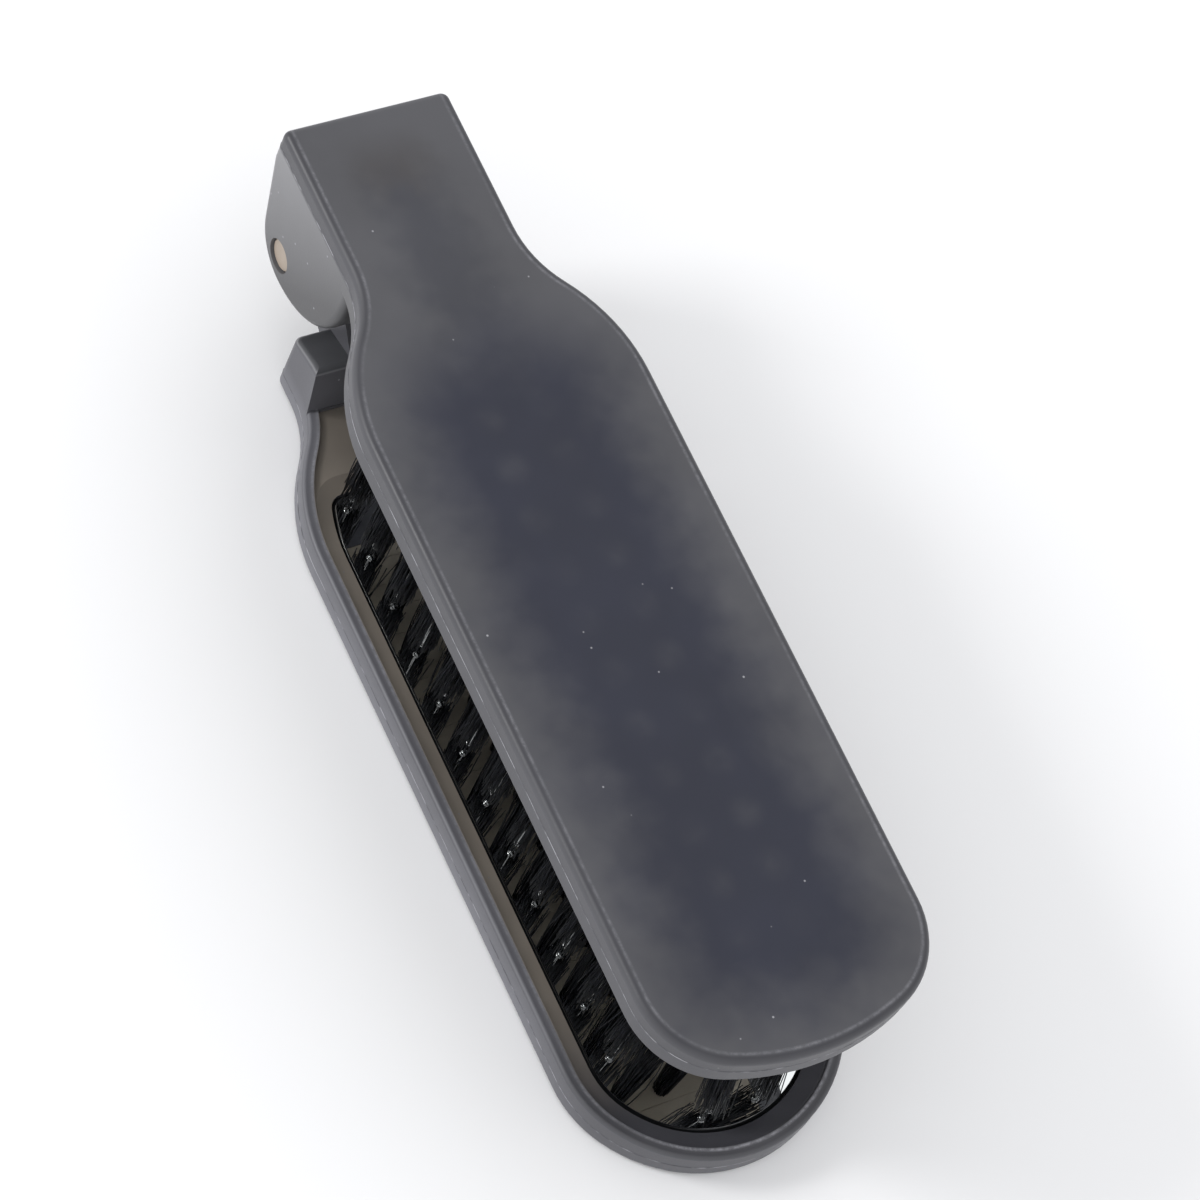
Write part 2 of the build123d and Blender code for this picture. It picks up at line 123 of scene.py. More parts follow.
class ShellSettings(PropertyGroup):
    """Colours and surface of the smoky plastic."""

    lid_colour: FloatVectorProperty(
        name="Lid colour", description="Broad faces with nothing behind them",
        subtype="COLOR", size=3, min=0, max=1, default=(0.071, 0.071, 0.078))
    # Painted shade: broad faces are darker where the bristle plate and tufts, or the mirror, lie behind the
    # frosted plastic
    shade_behind_colour: FloatVectorProperty(
        name="Plate colour", description="Broad faces with the bristle plate or the mirror behind them",
        subtype="COLOR", size=3, min=0, max=1, default=(0.018, 0.020, 0.034))
    edge_colour: FloatVectorProperty(
        name="Edge colour", description="Sides, where light gets into the plastic",
        subtype="COLOR", size=3, min=0, max=1, default=(0.070, 0.070, 0.078))
    # Painted light: the ears' sides are lighter because the light falls on them; the same colour paints the
    # highlight on the block's rounded edge
    lit_ear_colour: FloatVectorProperty(
        name="Ear colour", description="The ears' sides, the brightest of the plastic",
        subtype="COLOR", size=3, min=0, max=1, default=(0.22, 0.22, 0.23))
    # Partly painted light: the tray floor's warm colour is brightened as if lit through the plastic
    tray_colour: FloatVectorProperty(
        name="Tray colour", description="Warm floor of the mirror's tray",
        subtype="COLOR", size=3, min=0, max=1, default=(0.34, 0.3, 0.255))
    # Painted shade: the tray floor at the tip, where less light reaches
    tip_shade_colour: FloatVectorProperty(
        name="Tray tip colour", description="Floor of the tray at the tip",
        subtype="COLOR", size=3, min=0, max=1, default=(0.046, 0.046, 0.054))
    # Painted shade: the block's top and front lie in the shade of the brush half above them
    block_shade_colour: FloatVectorProperty(
        name="Block colour", description="Top and front of the block by the hinge",
        subtype="COLOR", size=3, min=0, max=1, default=(0.055, 0.056, 0.061))
    roughness: FloatProperty(
        name="Frosting", description="Roughness of the frosted faces",
        subtype="FACTOR", min=0, max=1, default=0.42)
    parting_line: FloatProperty(
        name="Parting line", description="How far the mould's parting line stands proud",
        subtype="DISTANCE", unit="LENGTH", min=0, max=0.0005, default=0.00009)


class BristleSettings(PropertyGroup):
    """The tufts."""

    hairs: IntProperty(
        name="Hairs in a tuft", description="Bristles in each tuft", min=8, max=160, default=84)
    root_width: FloatProperty(
        name="Hair width", description="Width of a bristle at its root",
        subtype="DISTANCE", unit="LENGTH", min=0.00005, max=0.0005, default=0.00025)
    spread: FloatProperty(
        name="Spread", description="Radius of a tuft at its tips",
        subtype="DISTANCE", unit="LENGTH", min=0.001, max=0.004, default=0.0018)
    seed: IntProperty(name="Seed", description="Start of the bristles' random order", default=7)
    colour: FloatVectorProperty(
        name="Colour", description="Bristles and ball pins",
        subtype="COLOR", size=3, min=0, max=1, default=(0.004, 0.0045, 0.006))


class StudioSettings(PropertyGroup):
    """Floor, lights and camera."""

    floor_colour: FloatVectorProperty(
        name="Floor colour", description="Colour of the plain floor",
        subtype="COLOR", size=3, min=0, max=1, default=(0.86, 0.86, 0.865))
    key_power: FloatProperty(
        name="Key light", description="Power of the light at the left",
        subtype="POWER", unit="POWER", min=0, max=50, default=3.6)
    sky: FloatProperty(
        name="Sky", description="Strength of the even light from all round", min=0, max=5, default=1.06)
    lens: FloatProperty(
        name="Lens", description="Focal length of the camera", subtype="DISTANCE_CAMERA",
        min=20, max=300, default=130)


# Mesh helpers

def piece_from_arrays(name, points, faces, smooth=True):
    """A mesh object from an (n, 3) array of points and a list of index arrays, one row a face."""
    mesh = bpy.data.meshes.new(name)
    points = np.asarray(points, dtype=np.float64)
    sizes = np.concatenate([np.full(len(f), f.shape[1]) for f in faces])
    corners = np.concatenate([f.ravel() for f in faces])
    starts = np.concatenate([[0], np.cumsum(sizes)[:-1]])
    mesh.vertices.add(len(points))
    mesh.vertices.foreach_set("co", points.ravel())
    mesh.loops.add(len(corners))
    mesh.loops.foreach_set("vertex_index", corners.astype(np.int32))
    mesh.polygons.add(len(sizes))
    mesh.polygons.foreach_set("loop_start", starts.astype(np.int32))
    mesh.polygons.foreach_set("use_smooth", np.full(len(sizes), smooth))
    mesh.update(calc_edges=True)
    mesh.validate()
    piece = bpy.data.objects.new(name, mesh)
    bpy.context.scene.collection.objects.link(piece)
    return piece


def arc(start, heading, radius, turn, count=16):
    """Points of an arc from start, and its last heading: start + radius * integral of the heading
    as it turns by turn radians, positive to the left."""
    side = np.sign(turn)
    centre = start + radius * side * np.array([-np.sin(heading), np.cos(heading)])
    angles = heading - side * np.pi / 2 + np.linspace(0, turn, count)
    points = centre + radius * np.stack([np.cos(angles), np.sin(angles)], axis=1)
    return points, heading + turn


def outline_radii(half_width, corner, crown):
    """Two radii of a half's outline: the hollow and shoulder arcs' together, and the crown arc's.

    The hollow and shoulder arcs touch, and take up the rise from neck to side over the shoulder's
    length. The crown arc touches both corner arcs, and its middle lies crown beyond them.
    """
    rise = half_width - NECK_HALF
    hollow_and_shoulder = (SHOULDER_LENGTH**2 + rise**2) / (2 * rise)
    crown_radius = corner + crown / 2 + (half_width - corner) ** 2 / (2 * crown)
    return hollow_and_shoulder, crown_radius


def half_outline(half_width, y_end, y_tip, corner, crown, spacing=0.5 * MM):
    """A half's outline as a closed (n, 2) loop, anticlockwise from above, at even spacing.

    The left side runs from the neck's middle: end, corner arc, neck side, hollow and round
    shoulder arcs, side, corner arc and crown arc to the tip's middle; the right side mirrors it.
    """
    hollow_and_shoulder, crown_radius = outline_radii(half_width, corner, crown)
    shoulder_turn = np.arcsin(SHOULDER_LENGTH / hollow_and_shoulder)
    corner_turn = np.arccos((half_width - corner) / (crown_radius - corner))
    down = -np.pi / 2
    end_start = np.array([-NECK_HALF + END_CORNER_RADIUS, y_end])
    hollow_start = np.array([-NECK_HALF, NECK_FOOT_Y])
    tip_start = np.array([-half_width, y_tip + corner + crown])
    end_corner, _ = arc(end_start, np.pi, END_CORNER_RADIUS, np.pi / 2)
    hollow, heading = arc(hollow_start, down, SHOULDER_HOLLOW_RADIUS, -shoulder_turn)
    shoulder_radius = hollow_and_shoulder - SHOULDER_HOLLOW_RADIUS
    shoulder, _ = arc(hollow[-1], heading, shoulder_radius, shoulder_turn)
    tip_corner, heading = arc(tip_start, down, corner, corner_turn)
    crowned, _ = arc(tip_corner[-1], heading, crown_radius, np.pi / 2 - corner_turn)
    left = np.concatenate([[[0.0, y_end]], end_corner, hollow, shoulder, tip_corner, crowned])
    right = left[::-1][1:-1] * np.array([-1, 1])
    return even_loop(np.concatenate([left, right]), spacing)


def even_loop(loop, spacing):
    """The closed loop again at even spacing along its length, by linear interpolation."""
    closed = np.vstack([loop, loop[:1]])
    steps = np.linalg.norm(np.diff(closed, axis=0), axis=1)
    along = np.concatenate([[0], np.cumsum(steps)])
    count = int(round(along[-1] / spacing))
    wanted = np.linspace(0, along[-1], count, endpoint=False)
    return np.stack([np.interp(wanted, along, closed[:, k]) for k in (0, 1)], axis=1)


def bead_round_loop(name, loop, height, proud, breadth, segments=6):
    """A thin bead laid round a closed loop at one height.

    A point is loop(s) + proud * w(s) * cos(a) outwards and breadth * sin(a) upwards, where a goes
    once round the profile and w(s) is a mean and a sum of sines, each with a height, a number of
    turns round the loop and a start, that makes the bead come and go.
    """
    count = len(loop)
    tangent = np.roll(loop, -1, axis=0) - np.roll(loop, 1, axis=0)
    tangent /= np.linalg.norm(tangent, axis=1, keepdims=True)
    outward = np.stack([tangent[:, 1], -tangent[:, 0]], axis=1)
    s = np.arange(count) / count * 2 * np.pi
    wave = np.full(count, PARTING_LINE_MEAN)
    for amount, turns, begin in PARTING_LINE_WAVES:
        wave += amount * np.sin(turns * s + begin)
    a = np.arange(segments) / segments * 2 * np.pi
    out = (proud * wave)[:, None] * np.cos(a)[None, :]
    up = breadth * np.sin(a)[None, :] * np.ones((count, 1))
    xy = loop[:, None, :] + outward[:, None, :] * out[:, :, None]
    points = np.concatenate([xy, (height + up)[:, :, None]], axis=2).reshape(-1, 3)
    i, j = np.meshgrid(np.arange(count), np.arange(segments), indexing="ij")
    i2, j2 = (i + 1) % count, (j + 1) % segments
    here, ahead = i * segments, i2 * segments
    quads = np.stack([here + j, ahead + j, ahead + j2, here + j2], axis=-1)
    return piece_from_arrays(name, points, [quads.reshape(-1, 4)])


# Node helpers

def new_material(name):
    """An empty material with an output, its tree and its Principled shader."""
    material = bpy.data.materials.new(name)
    material.use_nodes = True
    tree = material.node_tree
    tree.nodes.clear()
    shader = tree.nodes.new("ShaderNodeBsdfPrincipled")
    output = tree.nodes.new("ShaderNodeOutputMaterial")
    tree.links.new(shader.outputs["BSDF"], output.inputs["Surface"])
    return material, tree, shader


def object_coordinates(tree):
    """The object coordinates."""
    return tree.nodes.new("ShaderNodeTexCoord").outputs["Object"]


def noise(tree, vector, scale, detail=2.0, roughness=0.5):
    """A noise texture's value."""
    node = tree.nodes.new("ShaderNodeTexNoise")
    node.inputs["Scale"].default_value = scale
    node.inputs["Detail"].default_value = detail
    node.inputs["Roughness"].default_value = roughness
    tree.links.new(vector, node.inputs["Vector"])
    return node.outputs["Fac"]


def math(tree, operation, first, second=None, clamp=False):
    """A Math node's value; each of the inputs is a socket or a number."""
    node = tree.nodes.new("ShaderNodeMath")
    node.operation = operation
    node.use_clamp = clamp
    for socket, value in zip(node.inputs, (first, second)):
        if value is None:
            continue
        if isinstance(value, (int, float)):
            socket.default_value = value
        else:
            tree.links.new(value, socket)
    return node.outputs[0]


def ramp(tree, value, low, high, to_low=0.0, to_high=1.0, smooth=True):
    """value between low and high turned into to_low to to_high, clamped."""
    node = tree.nodes.new("ShaderNodeMapRange")
    node.interpolation_type = "SMOOTHSTEP" if smooth else "LINEAR"
    numbers = {"From Min": low, "From Max": high, "To Min": to_low, "To Max": to_high}
    for name, number in numbers.items():
        node.inputs[name].default_value = number
    tree.links.new(value, node.inputs["Value"])
    return node.outputs["Result"]


def blend_colour(tree, factor, first, second, mode="MIX"):
    """first and second, each a socket or a colour, mixed by factor."""
    node = tree.nodes.new("ShaderNodeMix")
    node.data_type = "RGBA"
    node.blend_type = mode
    factor_socket, first_socket, second_socket = (node.inputs[k] for k in (0, 6, 7))
    for socket, value in ((factor_socket, factor), (first_socket, first), (second_socket, second)):
        if isinstance(value, (int, float)):
            socket.default_value = value
        elif isinstance(value, bpy.types.NodeSocket):
            tree.links.new(value, socket)
        else:
            socket.default_value = (*value[:3], 1.0)
    return node.outputs[2]


def scaled(colour, factor):
    """A colour that is factor times as bright."""
    return tuple(c * factor for c in colour)


def bump(tree, height, strength, distance):
    """A Bump node's normal."""
    node = tree.nodes.new("ShaderNodeBump")
    node.inputs["Strength"].default_value = strength
    node.inputs["Distance"].default_value = distance
    tree.links.new(height, node.inputs["Height"])
    return node.outputs["Normal"]


def grey(tree, value):
    """A grey as bright as the value."""
    node = tree.nodes.new("ShaderNodeCombineColor")
    for label in ("Red", "Green", "Blue"):
        tree.links.new(value, node.inputs[label])
    return node.outputs["Color"]


def position(tree):
    """The X, Y and Z of the object coordinates."""
    parts = tree.nodes.new("ShaderNodeSeparateXYZ")
    tree.links.new(object_coordinates(tree), parts.inputs["Vector"])
    return parts.outputs["X"], parts.outputs["Y"], parts.outputs["Z"]


def group_tree(name, inputs, outputs):
    """A new shader node group with float inputs {name: default} and outputs {name: socket type}."""
    tree = bpy.data.node_groups.new(name, "ShaderNodeTree")
    for label, default in inputs.items():
        socket = tree.interface.new_socket(name=label, in_out="INPUT", socket_type="NodeSocketFloat")
        socket.default_value = default
    for label, kind in outputs.items():
        tree.interface.new_socket(name=label, in_out="OUTPUT", socket_type=kind)
    return tree, tree.nodes.new("NodeGroupInput"), tree.nodes.new("NodeGroupOutput")


def use_group(tree, group, **values):
    """The group placed in a material with its own values."""
    node = tree.nodes.new("ShaderNodeGroup")
    node.node_tree = group
    for label, value in values.items():
        node.inputs[label.replace("_", " ").capitalize()].default_value = value
    return node


# Effects used by more than one material. A pair of values is where a ramp begins and where it ends.
SPECK_RADII = (0.12, 0.04)
SIDE_TILTS = (0.8, 0.35)
# Where the painted highlight along a rounded edge breaks up: slow patches and fine grain
HIGHLIGHT_PATCHES = (0.32, 0.62)
HIGHLIGHT_PATCHES_LEAST = 0.25
HIGHLIGHT_GRAIN = (0.36, 0.66)
HIGHLIGHT_GRAIN_LEAST = 0.3


def frosting_group():
    """Frosted moulded plastic: slow clouds, fine grain and bright specks of dust."""
    tree, source, sink = group_tree(
        "Frosting",
        {"Cloud scale": 70.0, "Grain scale": 3200.0, "Speck scale": 620.0, "Speck amount": 0.03},
        {"Cloud": "NodeSocketFloat", "Grain": "NodeSocketFloat", "Speck": "NodeSocketFloat"})
    place = object_coordinates(tree)
    cloud = noise(tree, place, 1.0, detail=3.0)
    tree.links.new(source.outputs["Cloud scale"], cloud.node.inputs["Scale"])
    grain = noise(tree, place, 1.0, detail=4.0, roughness=0.6)
    tree.links.new(source.outputs["Grain scale"], grain.node.inputs["Scale"])
    cells = tree.nodes.new("ShaderNodeTexVoronoi")
    tree.links.new(place, cells.inputs["Vector"])
    tree.links.new(source.outputs["Speck scale"], cells.inputs["Scale"])
    chosen = tree.nodes.new("ShaderNodeSeparateColor")
    tree.links.new(cells.outputs["Color"], chosen.inputs["Color"])
    rare = math(tree, "LESS_THAN", chosen.outputs["Red"], source.outputs["Speck amount"])
    near = ramp(tree, cells.outputs["Distance"], *SPECK_RADII)
    tree.links.new(cloud, sink.inputs["Cloud"])
    tree.links.new(grain, sink.inputs["Grain"])
    tree.links.new(math(tree, "MULTIPLY", rare, near), sink.inputs["Speck"])
    return tree


def edge_lines_group():
    """The lines along a moulding's rounded edge: the sides of the moulding, the dark line of painted
    shade that its fillet shows, and the grainy light line of painted highlight next to it, broken up
    in patches; both by their distance inside the outline."""
    tree, source, sink = group_tree(
        "Edge lines",
        {"Inside": 0.0, "Dark at": 0.62 * MM, "Dark width": 0.55 * MM, "Dark amount": 0.75,
         "Light at": 1.1 * MM, "Light width": 0.3 * MM, "Light amount": 0.34, "Highlight break scale": 1100.0},
        {"Side": "NodeSocketFloat", "Dark": "NodeSocketFloat", "Light": "NodeSocketFloat"})
    place = tree.nodes.new("ShaderNodeTexCoord")
    parts = tree.nodes.new("ShaderNodeSeparateXYZ")
    tree.links.new(place.outputs["Normal"], parts.inputs["Vector"])
    side = ramp(tree, math(tree, "ABSOLUTE", parts.outputs["Z"]), *SIDE_TILTS)

    def line(middle, width):
        """1 at the line's middle, 0 from its width on."""
        off = math(tree, "SUBTRACT", source.outputs["Inside"], source.outputs[middle])
        share = math(tree, "DIVIDE", math(tree, "ABSOLUTE", off), source.outputs[width])
        return math(tree, "SUBTRACT", 1.0, share, clamp=True)

    grain = noise(tree, object_coordinates(tree), 1.0, detail=4.0, roughness=0.75)
    tree.links.new(source.outputs["Highlight break scale"], grain.node.inputs["Scale"])
    slow = noise(tree, object_coordinates(tree), scale=55.0)
    patches = ramp(tree, slow, *HIGHLIGHT_PATCHES, HIGHLIGHT_PATCHES_LEAST, 1.0)
    broken_highlight = math(tree, "MULTIPLY", patches, ramp(tree, grain, *HIGHLIGHT_GRAIN, HIGHLIGHT_GRAIN_LEAST, 1.0))
    broken_highlight = math(tree, "MULTIPLY", broken_highlight, source.outputs["Light amount"])
    dark = math(tree, "MULTIPLY", line("Dark at", "Dark width"), source.outputs["Dark amount"])
    light = math(tree, "MULTIPLY", line("Light at", "Light width"), broken_highlight)
    tree.links.new(side, sink.inputs["Side"])
    tree.links.new(dark, sink.inputs["Dark"])
    tree.links.new(light, sink.inputs["Light"])
    return tree


# The smoky mouldings' finish, with the values that are the same on both halves
# Colours of the painted shade line and the painted highlight line along the rounded edges
DARK_LINE_COLOUR = (0.46, 0.46, 0.5)
LIGHT_LINE_COLOUR = (0.34, 0.34, 0.37)
SPECK_COLOUR = (0.3, 0.3, 0.32)
CLOUD_RANGE = (0.3, 0.7)
CLOUD_CONTRAST = 0.08
DULL_RANGE = (0.25, 0.75)
ROUGHNESS_SWING = 0.06
SLAB_FADE = (0.3 * MM, 0.1 * MM)
GRAIN_DEPTH = 0.00006
PLASTIC_IOR = 1.49
PLASTIC_GLOSS = 0.36


def smoky_plastic(name, frosting, edge_lines, roughness, tones, outline, lines, slab):
    """Frosted translucent plastic: tones gives its colour, with clouds and grain, a painted shade line
    and a broken painted highlight line along the outline's rounded edge, and a few specks of dust.

    outline holds the half width, the tip's Y, the corner radius and the tip's crown, and slab the
    heights between which the edge shows its lines."""
    material, tree, shader = new_material(name)
    x, y, z = position(tree)
    inside = edge_distance(tree, x, y, *outline)
    surface = use_group(tree, frosting)
    edges = use_group(tree, edge_lines, **lines)
    tree.links.new(inside, edges.inputs["Inside"])
    colour = tones(tree, (x, y, z), inside, edges.outputs["Side"])
    cloud = surface.outputs["Cloud"]
    clouded = ramp(tree, cloud, *CLOUD_RANGE, 1 - CLOUD_CONTRAST, 1 + CLOUD_CONTRAST)
    colour = blend_colour(tree, 1.0, colour, grey(tree, clouded), "MULTIPLY")
    low, high = slab
    away = math(tree, "ABSOLUTE", math(tree, "SUBTRACT", z, (low + high) / 2))
    on_slab = ramp(tree, away, *((high - low) / 2 + fade for fade in SLAB_FADE))
    dark = math(tree, "MULTIPLY", edges.outputs["Dark"], on_slab)
    colour = blend_colour(tree, dark, colour, DARK_LINE_COLOUR, "MULTIPLY")
    light = math(tree, "MULTIPLY", edges.outputs["Light"], on_slab)
    colour = blend_colour(tree, light, colour, LIGHT_LINE_COLOUR)
    colour = blend_colour(tree, surface.outputs["Speck"], colour, SPECK_COLOUR)
    dull = ramp(tree, cloud, *DULL_RANGE, roughness - ROUGHNESS_SWING, roughness + ROUGHNESS_SWING)
    grain = bump(tree, surface.outputs["Grain"], strength=0.25, distance=GRAIN_DEPTH)
    tree.links.new(colour, shader.inputs["Base Color"])
    tree.links.new(dull, shader.inputs["Roughness"])
    tree.links.new(grain, shader.inputs["Normal"])
    shader.inputs["IOR"].default_value = PLASTIC_IOR
    shader.inputs["Specular IOR Level"].default_value = PLASTIC_GLOSS
    return material


# Distance inside a half's outline, worked out in nodes

def radius_from(tree, across, y, centre):
    """The distance of a point from a centre."""
    dx = math(tree, "SUBTRACT", across, float(centre[0]))
    dy = math(tree, "SUBTRACT", y, float(centre[1]))
    return hypotenuse(tree, dx, dy)


def hypotenuse(tree, first, second):
    """The root of the sum of two values' squares."""
    squares = [math(tree, "MULTIPLY", value, value) for value in (first, second)]
    return math(tree, "SQRT", math(tree, "ADD", *squares))


def beyond(tree, across, y, first, second):
    """1 for points on the right of the line from first to second, else 0."""
    step = second - first
    dx = math(tree, "MULTIPLY", math(tree, "SUBTRACT", across, float(first[0])), float(step[1]))
    dy = math(tree, "MULTIPLY", math(tree, "SUBTRACT", y, float(first[1])), float(step[0]))
    return math(tree, "GREATER_THAN", dx, dy)


def choose(tree, condition, first, second):
    """first where the condition is 1, second where it is 0."""
    change = math(tree, "MULTIPLY", condition, math(tree, "SUBTRACT", first, second))
    return math(tree, "ADD", change, second)


def edge_distance(tree, x, y, half_width, y_tip, corner, crown):
    """How far a point lies inside a half's outline.

    From tip to neck the outline is the crown arc, the corner arc, the side, the shoulder arc, the
    hollow arc and the neck's side. Each gives its own distance: a radius less the distance from
    the arc's centre, that distance less the hollow's radius, or a half width less |x|. The lines
    through the centres of neighbouring arcs part them.
    """
    hollow_and_shoulder, crown_radius = outline_radii(half_width, corner, crown)
    shoulder_radius = hollow_and_shoulder - SHOULDER_HOLLOW_RADIUS
    hollow = np.array([NECK_HALF + SHOULDER_HOLLOW_RADIUS, NECK_FOOT_Y])
    shoulder = np.array([half_width - shoulder_radius, NECK_FOOT_Y - SHOULDER_LENGTH])
    tip_corner = np.array([half_width - corner, y_tip + crown + corner])
    tip = np.array([0.0, y_tip + crown_radius])
    across = math(tree, "ABSOLUTE", x)

    def within(radius, centre):
        """How far a point lies inside a circle."""
        return math(tree, "SUBTRACT", radius, radius_from(tree, across, y, centre))

    def above(height):
        """1 for points whose Y is greater than height, else 0."""
        return math(tree, "GREATER_THAN", y, float(height))

    from_hollow = math(tree, "SUBTRACT", radius_from(tree, across, y, hollow), SHOULDER_HOLLOW_RADIUS)
    stretches = (
        (beyond(tree, across, y, tip_corner, tip), within(corner, tip_corner)),
        (above(tip_corner[1]), math(tree, "SUBTRACT", half_width, across)),
        (above(shoulder[1]), within(shoulder_radius, shoulder)),
        (beyond(tree, across, y, hollow, shoulder), from_hollow),
        (above(NECK_FOOT_Y), math(tree, "SUBTRACT", NECK_HALF, across)),
    )
    inside = within(crown_radius, tip)
    for begun, distance in stretches:
        inside = choose(tree, begun, distance, inside)
    return inside


# The brush half's tones. A pair of places is where a ramp begins and where it ends.
BLOB_RADII = (3.0 * MM, 0.4 * MM)
BROAD_DRIFT = 7 * MM
FINE_DRIFT = 6 * MM
# Where the painted shade of the plate behind the brush half's face begins and ends
PLATE_FROM_EDGE = (-1.0 * MM, 12.5 * MM)
PLATE_FROM_NECK = (PLATE_HIGH.y + 9 * MM, PLATE_HIGH.y - 11 * MM)
LANE_ACROSS = (9 * MM, 1.0 * MM)
LANE_FOOT = (26 * MM, 38 * MM)
LANE_HEAD = (64 * MM, 56 * MM)
LANE_STRENGTH = 0.6
SMOKE_TURN = (52 * MM, 58 * MM)
COOL_SMOKE = (0.029, 0.031, 0.042)
WARM_SMOKE = (0.038, 0.034, 0.034)
# How strong the painted light over the tufts is, by the border's drift
SPOT_DRIFT = (-1.0 * MM, 2.5 * MM)
SPOTS_FAINT = 0.04
SPOTS_STRONG = 0.26
# Where the ears' painted light lies, and how it fades into painted shadow lower down, away from the hinge
EARS_DOWN = (SHELL_HIGH.z - SLAB_HEIGHT * 0.5, SHELL_HIGH.z - SLAB_HEIGHT * 0.6)
EARS_ALONG = (36 * MM, 44 * MM)
EAR_SHADE = (69 * MM, 94 * MM)
EAR_SHADOW = 0.36


def drifting(tree, scale, width):
    """A value that wanders over a width about 0."""
    wander = math(tree, "SUBTRACT", noise(tree, object_coordinates(tree), scale), 0.5)
    return math(tree, "MULTIPLY", wander, width)


def grid_blobs(tree, x, y):
    """Round blobs of painted light over the tufts: 1 at a tuft's middle, fading to 0 before its neighbours.
    """
    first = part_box(ROW_NAMES[0])
    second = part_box(ROW_NAMES[1])
    row_y = (first[0].y + first[1].y) / 2
    row_pitch = row_y - (second[0].y + second[1].y) / 2
    across = math(tree, "ADD", x, COLUMN_PITCH / 2)
    across = math(tree, "PINGPONG", across, COLUMN_PITCH / 2)
    along = math(tree, "PINGPONG", math(tree, "SUBTRACT", y, row_y), row_pitch / 2)
    return ramp(tree, hypotenuse(tree, across, along), *BLOB_RADII)


def lid_tones(settings):
    """The brush half's tones: grey over the empty edge, painted shade, darker and bluish, over the plate
    and its tufts with a soft uneven border, with spots of painted light over the tufts, a dark lane
    down the neck, and ears painted lighter where light falls on them, fading into painted shadow lower
    down."""

    def tones(tree, place, inside, side):
        x, y, z = place
        broad = drifting(tree, scale=90.0, width=BROAD_DRIFT)
        fine = drifting(tree, scale=240.0, width=FINE_DRIFT)
        drift = math(tree, "ADD", broad, fine)
        along = math(tree, "ADD", y, drift)
        # Painted shade where the plate and its tufts lie behind the plastic, with a soft uneven border
        depth = ramp(tree, math(tree, "ADD", inside, drift), *PLATE_FROM_EDGE)
        plate = math(tree, "MULTIPLY", depth, ramp(tree, along, *PLATE_FROM_NECK))
        off_middle = math(tree, "ADD", math(tree, "ABSOLUTE", x), drift)
        on_neck = math(tree, "MULTIPLY", ramp(tree, y, *LANE_FOOT), ramp(tree, y, *LANE_HEAD))
        lane = math(tree, "MULTIPLY", ramp(tree, off_middle, *LANE_ACROSS), on_neck)
        lane = math(tree, "MULTIPLY", lane, LANE_STRENGTH)
        smoke = blend_colour(tree, ramp(tree, along, *SMOKE_TURN), COOL_SMOKE, WARM_SMOKE)
        colour = blend_colour(tree, lane, settings.lid_colour, smoke)
        colour = blend_colour(tree, plate, colour, settings.shade_behind_colour)
        # Painted light: lighter round blobs over the tufts, within the painted shade of the plate
        strength = ramp(tree, drift, *SPOT_DRIFT, SPOTS_FAINT, SPOTS_STRONG)
        spots = math(tree, "MULTIPLY", grid_blobs(tree, x, y), strength)
        colour = blend_colour(tree, math(tree, "MULTIPLY", spots, plate), colour, settings.lid_colour)
        # Painted light on the ears' sides, fading into painted shadow lower down, away from the hinge
        ear = math(tree, "MULTIPLY", ramp(tree, z, *EARS_DOWN), ramp(tree, y, *EARS_ALONG))
        shade = ramp(tree, math(tree, "ADD", y, z), *EAR_SHADE, smooth=False)
        shadow = scaled(settings.lit_ear_colour, EAR_SHADOW)
        colour = blend_colour(tree, side, colour, settings.edge_colour)
        return blend_colour(tree, ear, colour, blend_colour(tree, shade, shadow, settings.lit_ear_colour))

    return tones


# The mirror half's tones, with the ramps in pairs as above
MIRROR_FROM_EDGE = (2.0 * MM, 9 * MM)
OUTER_FACE_DOWN = (1.2 * MM, 0.6 * MM)
MIRROR_FROM_NECK = (GLASS_HIGH.y + 3 * MM, GLASS_HIGH.y - 6 * MM)
TIP_ALONG = (-35 * MM, -58 * MM)
RIM_UP = (2 * MM, 4 * MM)
# How much lighter the rim is painted where light falls on it
RIM_LIGHT = 1.9
TRAY_FROM_EDGE = (1.35 * MM, 1.6 * MM)
TRAY_UP = (1.5 * MM, 1.8 * MM)
TRAY_TO_NECK = (22 * MM, 36 * MM)
# How dark the painted shade on the tray floor gets towards the neck
TRAY_NECK_SHADE = 0.42
BLOCK_UP = (SLAB_HEIGHT + 0.2 * MM, SLAB_HEIGHT + 0.6 * MM)
FRONT_ALONG = (41.2 * MM, 41.5 * MM)
FRONT_FROM_EDGE = (0.3 * MM, 1.2 * MM)
FRONT_UP = (SLAB_HEIGHT - 0.7 * MM, SLAB_HEIGHT - 0.5 * MM)
CREST_UP = (SLAB_HEIGHT + 5.0 * MM, SLAB_HEIGHT + 5.8 * MM)
# How much lighter the painted highlight along the block's crest is
CREST_HIGHLIGHT = 1.25
# Painted light on the sides: how much lighter they are at their foot and at the slab's top, and how far
# they fall back into painted shade at the tip
WALL_FOOT_LIGHT = 2.6
WALL_TOP_LIGHT = 1.4
WALL_TIP_SHADE = 0.7
# Strength of the painted highlight on the block's rounded edge
ROUND_EDGE_HIGHLIGHT = 2.4


